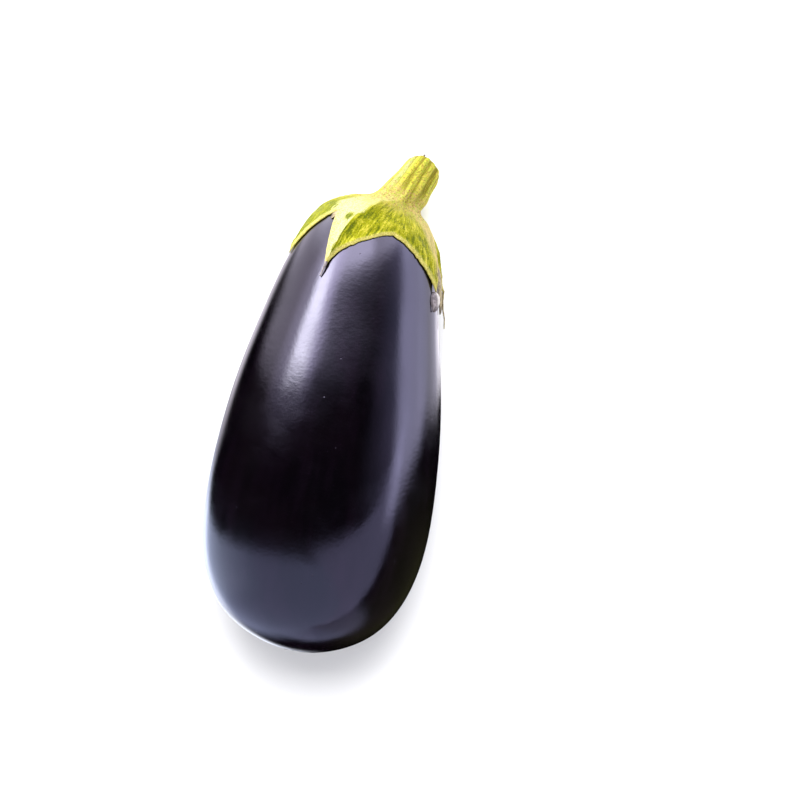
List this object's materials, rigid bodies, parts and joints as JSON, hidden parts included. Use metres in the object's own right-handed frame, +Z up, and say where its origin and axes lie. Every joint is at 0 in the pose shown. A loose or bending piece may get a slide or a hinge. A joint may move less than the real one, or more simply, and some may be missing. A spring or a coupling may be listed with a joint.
{
  "type": "eggplant",
  "caption": "Large dark purple eggplant lying on its side: smooth glossy pear-shaped fruit, green calyx with pointed lobes clasping its top, and a short ribbed cut stem.",
  "frame": {"origin": "centre of the bounding box's footprint, on the surface that the eggplant lies on", "axes": "+Y from the blossom end to the stem, +X to the fruit's right seen from above with the stem away from the viewer, +Z up from the surface"},
  "size_m": [0.094, 0.2094, 0.0918],
  "materials": {
    "skin": "glossy",
    "calyx": "matte"
  },
  "bodies": {
    "root": {"fruit": "skin", "calyx_and_stem": "calyx"}
  },
  "joints": []
}
